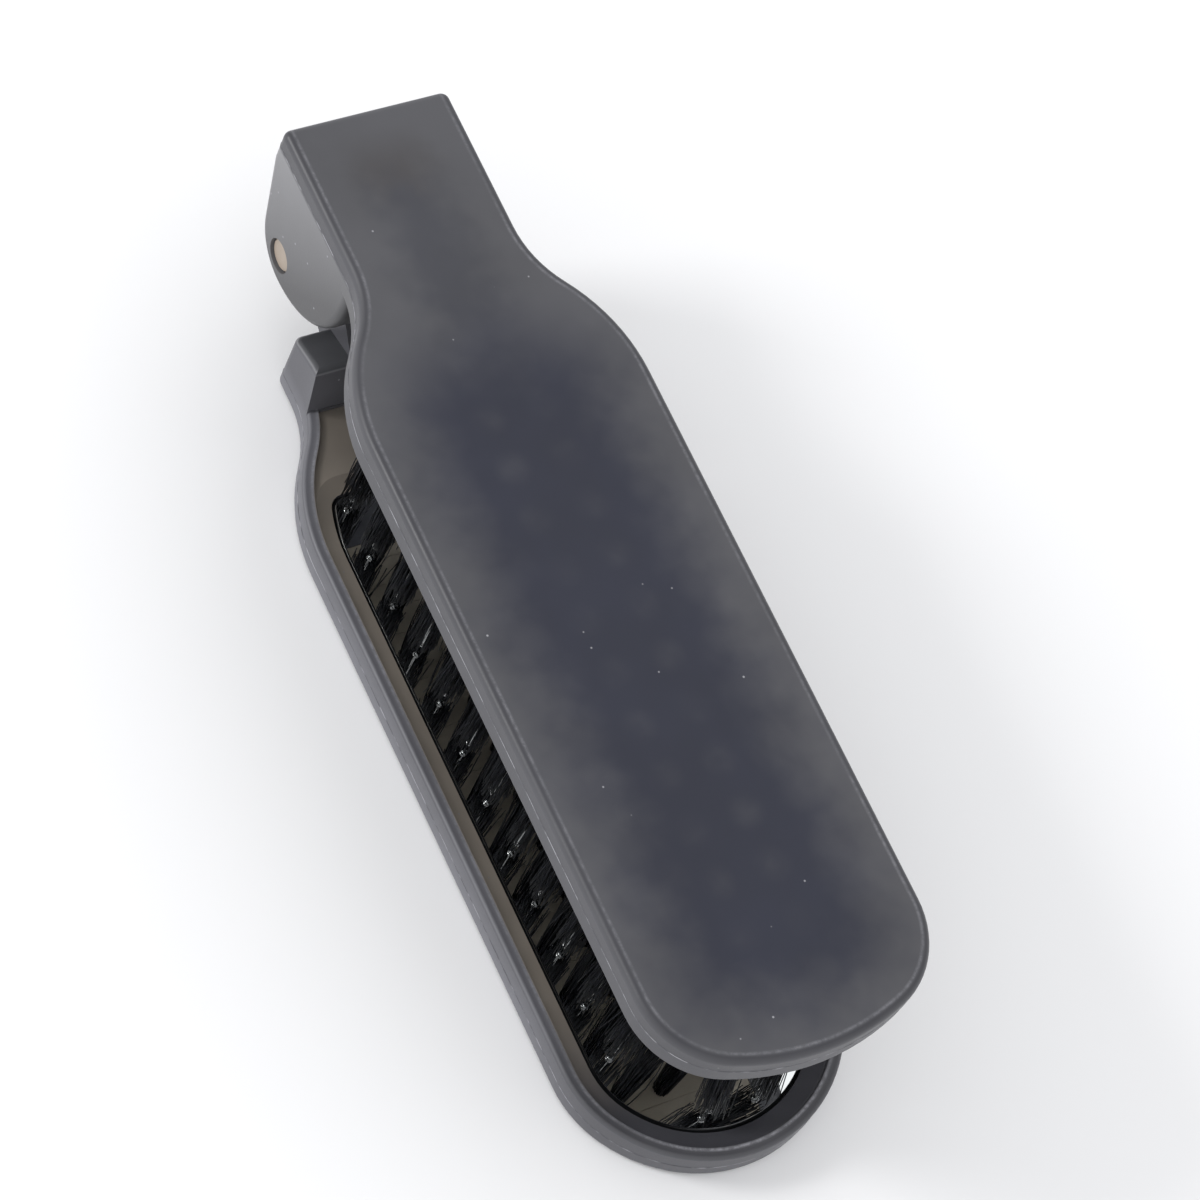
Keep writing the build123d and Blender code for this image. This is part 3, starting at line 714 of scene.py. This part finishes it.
def tray_tones(settings):
    """The mirror half's tones, most of them painted light and shade: a grey rim painted lighter along
    the sides, sides painted lighter at their foot, a warm tray floor with painted shade towards the
    neck and, darker and cooler, towards the tip, a block in painted shade with a painted highlight on
    its rounded edge and crest, and painted shade on the outer face where the mirror lies behind it."""

    def tones(tree, place, inside, side):
        y, z = place[1:]
        tip = ramp(tree, y, *TIP_ALONG)
        # Painted light on the rim along the sides, giving way to painted shade towards the tip
        rim = blend_colour(tree, tip, scaled(settings.lid_colour, RIM_LIGHT), settings.lid_colour)
        colour = blend_colour(tree, ramp(tree, z, *RIM_UP), settings.lid_colour, rim)
        # Painted shade on the outer face where the mirror lies behind the plastic
        outer_face = ramp(tree, z, *OUTER_FACE_DOWN)
        behind = math(tree, "MULTIPLY", ramp(tree, inside, *MIRROR_FROM_EDGE), outer_face)
        behind = math(tree, "MULTIPLY", behind, ramp(tree, y, *MIRROR_FROM_NECK))
        colour = blend_colour(tree, behind, colour, settings.shade_behind_colour)
        # Tray floor: warm and partly painted light, with painted shade towards the neck and, darker and
        # cooler, towards the tip
        shaded_neck_floor = scaled(settings.tray_colour, TRAY_NECK_SHADE)
        warm = blend_colour(tree, ramp(tree, y, *TRAY_TO_NECK), settings.tray_colour, shaded_neck_floor)
        warm = blend_colour(tree, tip, warm, settings.tip_shade_colour)
        tray = math(tree, "MULTIPLY", ramp(tree, inside, *TRAY_FROM_EDGE), ramp(tree, z, *TRAY_UP))
        colour = blend_colour(tree, tray, colour, warm)
        # Painted shade on the block's top and front
        block = ramp(tree, z, *BLOCK_UP)
        front = math(tree, "MULTIPLY", ramp(tree, inside, *FRONT_FROM_EDGE), ramp(tree, z, *FRONT_UP))
        front = math(tree, "MULTIPLY", ramp(tree, y, *FRONT_ALONG), front)
        colour = blend_colour(tree, math(tree, "MAXIMUM", block, front), colour, settings.block_shade_colour)
        # Painted highlight along the block's crest
        crest = scaled(settings.block_shade_colour, CREST_HIGHLIGHT)
        colour = blend_colour(tree, ramp(tree, z, *CREST_UP), colour, crest)
        # Painted light on the sides, lighter at their foot, falling back into painted shade towards the tip
        wall_foot = scaled(settings.edge_colour, WALL_FOOT_LIGHT)
        wall_top = scaled(settings.edge_colour, WALL_TOP_LIGHT)
        walls = blend_colour(tree, ramp(tree, z, 0.0, SLAB_HEIGHT, smooth=False), wall_foot, wall_top)
        walls = blend_colour(tree, math(tree, "MULTIPLY", tip, WALL_TIP_SHADE), walls, settings.edge_colour)
        colour = blend_colour(tree, side, colour, walls)
        # Painted highlight on the block's rounded edge, halfway between its top and its side
        halfway = math(tree, "MULTIPLY", side, math(tree, "SUBTRACT", 1.0, side))
        round_edge = math(tree, "MULTIPLY", math(tree, "MULTIPLY", halfway, ROUND_EDGE_HIGHLIGHT), block)
        return blend_colour(tree, round_edge, colour, settings.lit_ear_colour)

    return tones


# The other finishes
# The parting line's bead: where its painted glints show, and its dark and glinting colours
PARTING_LINE_GLINTS = (0.42, 0.62)
PARTING_LINE_DARK = (0.09, 0.09, 0.1)
PARTING_LINE_LIGHT = (0.3, 0.3, 0.32)
NYLON_SHADES = (0.35, 0.7)
NYLON_GAIN = 3.0
NYLON_LIFT = 0.003
NYLON_DULLING = 0.12
MIRROR_TINTS = ((0.86, 0.885, 0.885), (0.9, 0.92, 0.915))
BEVEL_COLOUR = (0.17, 0.175, 0.175)
BEVEL_DROPS = (0.01 * MM, 0.06 * MM)


def toned_material(name, dark, light, scale, detail, roughness, metallic=0.0):
    """A finish whose colour drifts between two tones by a noise of this scale."""
    material, tree, shader = new_material(name)
    tone = noise(tree, object_coordinates(tree), scale, detail)
    tree.links.new(blend_colour(tree, tone, dark, light), shader.inputs["Base Color"])
    shader.inputs["Metallic"].default_value = metallic
    shader.inputs["Roughness"].default_value = roughness
    return material


def grained_plastic(name, frosting, dark, light, cloud_scale, roughness):
    """Moulded plastic whose colour drifts between two tones in clouds, with a fine grain."""
    material, tree, shader = new_material(name)
    surface = use_group(tree, frosting, cloud_scale=cloud_scale)
    colour = blend_colour(tree, surface.outputs["Cloud"], dark, light)
    grain = bump(tree, surface.outputs["Grain"], strength=0.3, distance=0.00005)
    tree.links.new(colour, shader.inputs["Base Color"])
    tree.links.new(grain, shader.inputs["Normal"])
    shader.inputs["Roughness"].default_value = roughness
    return material


def parting_line_material(name, frosting):
    """The parting line's bead, brighter than the plastic round it in broken patches of painted glint."""
    material, tree, shader = new_material(name)
    surface = use_group(tree, frosting, cloud_scale=500.0)
    broken_highlight = ramp(tree, surface.outputs["Cloud"], *PARTING_LINE_GLINTS)
    colour = blend_colour(tree, broken_highlight, PARTING_LINE_DARK, PARTING_LINE_LIGHT)
    tree.links.new(colour, shader.inputs["Base Color"])
    shader.inputs["Roughness"].default_value = 0.35
    return material


def pin_material(frosting):
    """The hinge pin: warm undyed plastic with a fine grain."""
    return grained_plastic("pin_plastic", frosting, dark=(0.29, 0.235, 0.185), light=(0.36, 0.3, 0.245),
                           cloud_scale=900.0, roughness=0.4)


def bristle_material(name, colour, roughness, gloss, coat):
    """Black nylon, lighter and duller in places, with a polished coat where coat is more than 0."""
    material, tree, shader = new_material(name)
    shade = ramp(tree, noise(tree, object_coordinates(tree), scale=900.0), *NYLON_SHADES)
    lighter = tuple(c * NYLON_GAIN + NYLON_LIFT for c in colour)
    dull = ramp(tree, shade, 0.0, 1.0, roughness, roughness + NYLON_DULLING)
    tree.links.new(blend_colour(tree, shade, tuple(colour), lighter), shader.inputs["Base Color"])
    tree.links.new(dull, shader.inputs["Roughness"])
    values = {"IOR": 1.53, "Specular IOR Level": gloss, "Coat Weight": coat, "Coat Roughness": 0.03,
              "Coat IOR": 1.8}
    for label, value in values.items():
        shader.inputs[label].default_value = value
    return material


def plate_material(frosting):
    """The bristle plate's moulded satin plastic, warm and dark."""
    return grained_plastic("plate_plastic", frosting, dark=(0.17, 0.15, 0.12), light=(0.24, 0.21, 0.17),
                           cloud_scale=200.0, roughness=0.5)


def glass_material():
    """The mirror as it looks from outside, made as one opaque reflecting face: a faint cool tint
    with slow waves, and a dark bevelled edge."""
    material, tree, shader = new_material("mirror_glass")
    waves = noise(tree, object_coordinates(tree), scale=60.0, detail=1.0)
    tint = blend_colour(tree, waves, *MIRROR_TINTS)
    z = position(tree)[2]
    bevel = ramp(tree, z, *(GLASS_HIGH.z - drop for drop in BEVEL_DROPS))
    tree.links.new(blend_colour(tree, bevel, tint, BEVEL_COLOUR), shader.inputs["Base Color"])
    shader.inputs["Metallic"].default_value = 1.0
    shader.inputs["Roughness"].default_value = 0.012
    shader.inputs["Transmission Weight"].default_value = 0.0
    return material


def silver_material():
    """The silvered back."""
    return toned_material("mirror_silver", dark=(0.86, 0.87, 0.88), light=(0.92, 0.92, 0.92),
                          scale=300.0, detail=3.0, roughness=0.03, metallic=1.0)


def brass_material():
    """Cut brass strip, a little tarnished."""
    return toned_material("staple_brass", dark=(0.62, 0.38, 0.12), light=(0.85, 0.6, 0.25),
                          scale=1500.0, detail=3.0, roughness=0.3, metallic=1.0)


def tape_material():
    """Black foam tape under the glass."""
    return toned_material("mirror_tape", dark=(0.03, 0.03, 0.03), light=(0.07, 0.07, 0.07),
                          scale=4000.0, detail=2.0, roughness=0.9)


def floor_material(colour):
    """A plain pale floor with hardly visible tone."""
    return toned_material("studio_floor", dark=tuple(colour), light=scaled(colour, 0.985),
                          scale=3.0, detail=2.0, roughness=0.7)


def shared_group(name, make):
    """The named node group, made the first time it is asked for."""
    return bpy.data.node_groups.get(name) or make()


def dress(node, material):
    """Gives a CAD node its material."""
    mesh = frame["nodes"][node].data
    mesh.materials.clear()
    mesh.materials.append(material)


# Tufts

def tuft_places(row):
    """A row's tufts: (n, 3) roots on the plate's face and (n, 3) drifts for each metre of drop."""
    pins_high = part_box(ROW_NAMES[row].replace("tuft_row", "ball_pin_row"))[1]
    last = row == len(ROW_NAMES) - 1
    columns = TIP_ROW_COLUMN_COUNT if last else COLUMN_COUNT
    lean = np.radians(TIP_ROW_ANGLE) if last else 0.0
    x = COLUMN_PITCH * (np.arange(columns) - (columns - 1) / 2)
    y = np.full(columns, pins_high.y - BALL_PIN_HEAD_RADIUS)
    roots = np.stack([x, y, np.full(columns, PLATE_LOW.z)], axis=1)
    drifts = np.tile([0.0, -np.tan(lean), -1.0], (columns, 1))
    return roots, drifts


def hair_surfaces(roots, tips, bows, width, sides=3, segments=4):
    """Thin tapering tubes, all at once.

    The middle line of a hair is root + t (tip - root) + 4 t (1 - t) bow with t from 0 to 1, and
    round it lie sides points at radius width / 2 * (1 - taper * t); flat ends close it.
    """
    count = len(roots)
    t = np.linspace(0, 1, segments + 1)[None, :, None]
    middle = roots[:, None] + t * (tips - roots)[:, None] + 4 * t * (1 - t) * bows[:, None]
    along = (tips - roots) / np.linalg.norm(tips - roots, axis=1, keepdims=True)
    u = np.cross(along, PROFILE_GUIDE)
    u /= np.linalg.norm(u, axis=1, keepdims=True)
    v = np.cross(along, u)
    a = np.arange(sides) / sides * 2 * np.pi
    ring = u[:, None] * np.cos(a)[None, :, None] + v[:, None] * np.sin(a)[None, :, None]
    radius = width / 2 * (1 - HAIR_TAPER * t)
    points = middle[:, :, None] + radius[..., None] * ring[:, None]
    base = np.arange(count)[:, None, None] * (segments + 1) * sides
    i = np.arange(segments)[None, :, None] * sides
    j = np.arange(sides)[None, None, :]
    k = (j + 1) % sides
    quads = np.stack([base + i + j, base + i + k, base + i + sides + k, base + i + sides + j], axis=-1)
    start = np.arange(count)[:, None] * (segments + 1) * sides
    tip_cap = start + segments * sides + np.arange(sides)[None, :]
    root_cap = start + np.arange(sides)[::-1][None, :]
    return points.reshape(-1, 3), [quads.reshape(-1, 4), tip_cap, root_cap]


def tuft_hairs(row, settings):
    """Roots, tips and bows of all the hairs of a row's tufts, seeded by the row.

    Roots fill a disc evenly by the sunflower rule, a tip lies further out in the same direction by
    the spread, and the lengths fall off a little with a few short ones.
    """
    random = np.random.default_rng(settings.seed + ROW_SEED_STEP * row)
    roots, drifts = tuft_places(row)
    n = settings.hairs
    order = np.arange(n)[None, :]
    radius = np.sqrt((order + 0.5) / n)
    angle = order * GOLDEN_ANGLE + random.uniform(0, FIRST_ANGLE_RANGE, (len(roots), 1))
    radius, angle = np.broadcast_arrays(radius, angle)
    disc = np.stack([radius * np.cos(angle), radius * np.sin(angle), np.zeros_like(angle)], axis=-1)
    level = np.array([1, 1, 0])
    clearance = GLASS_CLEARANCE + np.abs(random.normal(0, LENGTH_SCATTER, angle.shape))
    short = random.random(angle.shape) < SHORT_SHARE
    clearance = np.where(short, clearance + random.uniform(*SHORTENED_BY, angle.shape), clearance)
    length = PLATE_LOW.z - GLASS_HIGH.z - clearance
    start = roots[:, None] + disc * ROOT_DISC_RADIUS + np.array([0, 0, ROOT_DEPTH])
    stray = random.normal(0, STRAY_SCATTER, angle.shape + (3,)) * level
    wild = random.random(angle.shape) < WILD_SHARE
    stray = np.where(wild[..., None], stray * WILD_FACTOR, stray)
    end = roots[:, None] + drifts[:, None] * length[..., None] + disc * settings.spread + stray
    bow = random.normal(0, BOW_SCATTER, angle.shape + (3,)) * level
    return start.reshape(-1, 3), end.reshape(-1, 3), bow.reshape(-1, 3)


def capsule_slabs(name, centres_y, half_lengths, width, low, high, count=24):
    """Flat bars with round ends, one a row: the outline is a half circle of the bar's width at
    each end, carried from low to high, and flat caps close it."""
    a = np.linspace(-np.pi / 2, np.pi / 2, count // 2)
    end = np.stack([np.cos(a), np.sin(a)], axis=1) * width / 2
    outline = np.concatenate([end, -end])
    side = np.concatenate([np.ones(len(end)), -np.ones(len(end))])
    rows = len(centres_y)
    xy = outline[None] + np.stack([side[None] * half_lengths[:, None],
                                   np.repeat(centres_y[:, None], len(side), axis=1)], axis=-1)
    levels = np.array([low, high])
    points = np.concatenate([
        np.repeat(xy[:, None], 2, axis=1),
        np.broadcast_to(levels[None, :, None, None], (rows, 2, len(side), 1))], axis=-1)
    m = len(side)
    base = np.arange(rows)[:, None] * 2 * m
    j = np.arange(m)[None, :]
    k = (j + 1) % m
    walls = np.stack([base + j, base + k, base + m + k, base + m + j], axis=-1).reshape(-1, 4)
    bottom = base + np.arange(m)[::-1][None, :]
    top = base + m + np.arange(m)[None, :]
    return piece_from_arrays(name, points.reshape(-1, 3), [walls, bottom, top], smooth=False)


# Operators

class BRUSH_OT_shells(Operator):
    """Give both halves' mouldings their smoky frosted plastic"""

    bl_idname = "brush.shells"
    bl_label = "Smoky mouldings"

    def execute(self, context):
        settings = context.scene.brush_shell_settings
        frosting = shared_group("Frosting", frosting_group)
        edge_lines = shared_group("Edge lines", edge_lines_group)
        dress("brush_shell", smoky_plastic(
            "brush_plastic", frosting, edge_lines, settings.roughness, lid_tones(settings),
            (SHELL_HIGH.x, SHELL_LOW.y, BRUSH_CORNER_RADIUS, BRUSH_TIP_CROWN), {},
            (SHELL_HIGH.z - SLAB_HEIGHT, SHELL_HIGH.z)))
        dress("mirror_frame", smoky_plastic(
            "mirror_plastic", frosting, edge_lines, settings.roughness, tray_tones(settings),
            (FRAME_HIGH.x, FRAME_LOW.y, MIRROR_CORNER_RADIUS, MIRROR_TIP_CROWN),
            {"light_at": 1.25 * MM, "light_amount": 0.75, "dark_amount": 0.4},
            (FRAME_LOW.z, FRAME_LOW.z + SLAB_HEIGHT)))
        return {"FINISHED"}


class BRUSH_OT_parting_lines(Operator):
    """Lay the moulds' parting line round each half's side"""

    bl_idname = "brush.parting_lines"
    bl_label = "Parting lines"

    def execute(self, context):
        settings = context.scene.brush_shell_settings
        frosting = shared_group("Frosting", frosting_group)
        brush_loop = half_outline(
            SHELL_HIGH.x, SHELL_HIGH.y, SHELL_LOW.y, BRUSH_CORNER_RADIUS, BRUSH_TIP_CROWN)
        mirror_loop = half_outline(
            FRAME_HIGH.x, mirror_end_y(), FRAME_LOW.y, MIRROR_CORNER_RADIUS, MIRROR_TIP_CROWN)
        halves = (
            ("brush", "brush_half", "brush_plastic", brush_loop, SHELL_HIGH.z - SLAB_HEIGHT / 2),
            ("mirror", "mirror_half", "mirror_plastic", mirror_loop, FRAME_LOW.z + SLAB_HEIGHT / 2),
        )
        for half, body, slot, loop, height in halves:
            name = f"parting_line_{half}"
            bead = bead_round_loop(name, loop, height, settings.parting_line, PARTING_LINE_BREADTH)
            bead.data.materials.append(parting_line_material(name, frosting))
            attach(bead, body)
        return {"FINISHED"}


def mirror_end_y():
    """The end of the mirror half's slab: as far before the pin as the brush half's end is behind
    it, less the gap that is left between the halves when they are open."""
    return 2 * HINGE.y - SHELL_HIGH.y - END_GAP_WHEN_OPEN


class BRUSH_OT_hinge(Operator):
    """Finish the hinge pin"""

    bl_idname = "brush.hinge"
    bl_label = "Hinge pin"

    def execute(self, context):
        dress("hinge_pin", pin_material(shared_group("Frosting", frosting_group)))
        return {"FINISHED"}


class BRUSH_OT_mirror(Operator):
    """Finish the mirror: glass, silvering and tape"""

    bl_idname = "brush.mirror"
    bl_label = "Mirror"

    def execute(self, context):
        dress("mirror_glass", glass_material())
        dress("mirror_silver", silver_material())
        dress("mirror_tape", tape_material())
        return {"FINISHED"}


class BRUSH_OT_bristle_plate(Operator):
    """Finish the bristle plate and its staples, and lay a strip of the plate along each row of tufts"""

    bl_idname = "brush.bristle_plate"
    bl_label = "Bristle plate"

    def execute(self, context):
        material = plate_material(shared_group("Frosting", frosting_group))
        dress("bristle_plate", material)
        dress("tuft_staples", brass_material())
        places = [tuft_places(row)[0] for row in range(len(ROW_NAMES))]
        centres = np.array([p[0, 1] for p in places])
        halves = np.array([p[-1, 0] for p in places])
        strips = capsule_slabs("tuft_strips", centres, halves, STRIP_WIDTH, PLATE_LOW.z,
                               PLATE_LOW.z + STRIP_THICKNESS)
        strips.data.materials.append(material)
        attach(strips, "brush_half")
        return {"FINISHED"}


class BRUSH_OT_tufts(Operator):
    """Grow the dense tufts in place of the rows of stiff strands"""

    bl_idname = "brush.tufts"
    bl_label = "Bristle tufts"

    def execute(self, context):
        settings = context.scene.brush_bristle_settings
        material = bristle_material(
            "bristle_nylon", settings.colour, roughness=0.42, gloss=0.12, coat=0.0)
        for row, node in enumerate(ROW_NAMES):
            points, faces = hair_surfaces(*tuft_hairs(row, settings), settings.root_width)
            tufts = piece_from_arrays(node.replace("tuft_row", "tuft_hair"), points, faces)
            tufts.data.materials.append(material)
            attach(tufts, "brush_half")
            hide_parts(node)
        return {"FINISHED"}


class BRUSH_OT_ball_pins(Operator):
    """Finish the ball-tipped pins"""

    bl_idname = "brush.ball_pins"
    bl_label = "Ball pins"

    def execute(self, context):
        settings = context.scene.brush_bristle_settings
        material = bristle_material(
            "ball_pin_nylon", settings.colour, roughness=0.05, gloss=1.0, coat=1.0)
        for node in ROW_NAMES:
            dress(node.replace("tuft_row", "ball_pin_row"), material)
        return {"FINISHED"}


class BRUSH_OT_studio(Operator):
    """Set up the plain floor, the even sky, the soft key light and the camera"""

    bl_idname = "brush.studio"
    bl_label = "Studio"

    def execute(self, context):
        settings = context.scene.brush_studio_settings
        scene = context.scene
        make_floor(settings)
        make_sky(scene, settings.sky)
        area_light("key_light", KEY_LIGHT_PLACE, KEY_LIGHT_SIZE, settings.key_power)
        make_camera(scene, settings.lens)
        scene.view_settings.view_transform = "Standard"
        return {"FINISHED"}


# Studio
FLOOR_HALF_SIZE = 4.0
KEY_LIGHT_PLACE = Vector((-0.7, 0.4, 0.5))
KEY_LIGHT_SIZE = 0.22
SKY_COLOUR = (0.98, 0.985, 1.0, 1.0)


def make_floor(settings):
    """A square floor under the closed brush."""
    corners = np.array([[-1, -1, 0], [1, -1, 0], [1, 1, 0], [-1, 1, 0]]) * FLOOR_HALF_SIZE
    floor = piece_from_arrays("studio_floor", corners, [np.array([[0, 1, 2, 3]])], smooth=False)
    floor.data.materials.append(floor_material(settings.floor_colour))


def make_sky(scene, strength):
    """Even light from all round."""
    world = scene.world or bpy.data.worlds.new("studio")
    scene.world = world
    world.use_nodes = True
    background = world.node_tree.nodes["Background"]
    background.inputs["Color"].default_value = SKY_COLOUR
    background.inputs["Strength"].default_value = strength


def area_light(name, place, size, power):
    """A square soft light at place that faces the brush's middle."""
    light = bpy.data.lights.new(name, "AREA")
    light.shape = "SQUARE"
    light.size = size
    light.energy = power
    lamp = bpy.data.objects.new(name, light)
    bpy.context.scene.collection.objects.link(lamp)
    lamp.location = place
    lamp.rotation_mode = "QUATERNION"
    lamp.rotation_quaternion = (-place).to_track_quat("-Z", "Y")


# The photograph's viewpoint
CAMERA_AIM = Vector((7.4, 2.03, 16.8)) * MM
CAMERA_DISTANCE = 524.51 * MM
CAMERA_AZIMUTH = np.radians(-53.242)
CAMERA_ELEVATION = np.radians(57.832)
CAMERA_ROLL = np.radians(31.362)
CAMERA_SENSOR = 36
CAMERA_CLIP = (0.01, 20)


def make_camera(scene, lens):
    """The camera at the photograph's viewing angle.

    It stands at its distance from the aim point in the direction (sin a cos e, -cos a cos e, sin e)
    for azimuth a and elevation e, looks at that point, and is rolled about its own axis.
    """
    a, e, roll = CAMERA_AZIMUTH, CAMERA_ELEVATION, CAMERA_ROLL
    back = Vector((np.sin(a) * np.cos(e), -np.cos(a) * np.cos(e), np.sin(e)))
    level = Vector((np.cos(a), np.sin(a), 0.0))
    right = level * np.cos(roll) + back.cross(level) * np.sin(roll)
    turn = Matrix((right, back.cross(right), back)).transposed().to_4x4()
    data = bpy.data.cameras.new("camera")
    data.sensor_width = CAMERA_SENSOR
    data.lens = lens
    data.clip_start, data.clip_end = CAMERA_CLIP
    camera = bpy.data.objects.new("camera", data)
    scene.collection.objects.link(camera)
    camera.matrix_world = Matrix.Translation(CAMERA_AIM + back * CAMERA_DISTANCE) @ turn
    scene.camera = camera


OPERATORS = (
    BRUSH_OT_shells, BRUSH_OT_parting_lines, BRUSH_OT_hinge, BRUSH_OT_mirror,
    BRUSH_OT_bristle_plate, BRUSH_OT_tufts, BRUSH_OT_ball_pins, BRUSH_OT_studio)


class BRUSH_PT_panel(Panel):
    """The brush's pieces and their settings"""

    bl_idname = "BRUSH_PT_panel"
    bl_label = "Hair brush"
    bl_space_type = "VIEW_3D"
    bl_region_type = "UI"
    bl_category = "Hair brush"

    def draw(self, context):
        layout = self.layout
        for name in SETTINGS:
            group = getattr(context.scene, name)
            for label in group.bl_rna.properties.keys():
                if label not in ("rna_type", "name"):
                    layout.prop(group, label)
        for operator in OPERATORS:
            layout.operator(operator.bl_idname)


SETTINGS = {
    "brush_shell_settings": ShellSettings,
    "brush_bristle_settings": BristleSettings,
    "brush_studio_settings": StudioSettings,
}


def register():
    """Registers the settings, operators and panel."""
    for name, group in SETTINGS.items():
        bpy.utils.register_class(group)
        setattr(bpy.types.Scene, name, PointerProperty(type=group))
    for cls in (*OPERATORS, BRUSH_PT_panel):
        bpy.utils.register_class(cls)


def unregister():
    """Takes them away again."""
    for cls in (*OPERATORS, BRUSH_PT_panel):
        bpy.utils.unregister_class(cls)
    for name, group in SETTINGS.items():
        delattr(bpy.types.Scene, name)
        bpy.utils.unregister_class(group)


def main():
    register()
    bpy.ops.brush.shells()
    bpy.ops.brush.parting_lines()
    bpy.ops.brush.hinge()
    bpy.ops.brush.mirror()
    bpy.ops.brush.bristle_plate()
    bpy.ops.brush.tufts()
    bpy.ops.brush.ball_pins()
    bpy.ops.brush.studio()


if __name__ == "__main__":
    main()
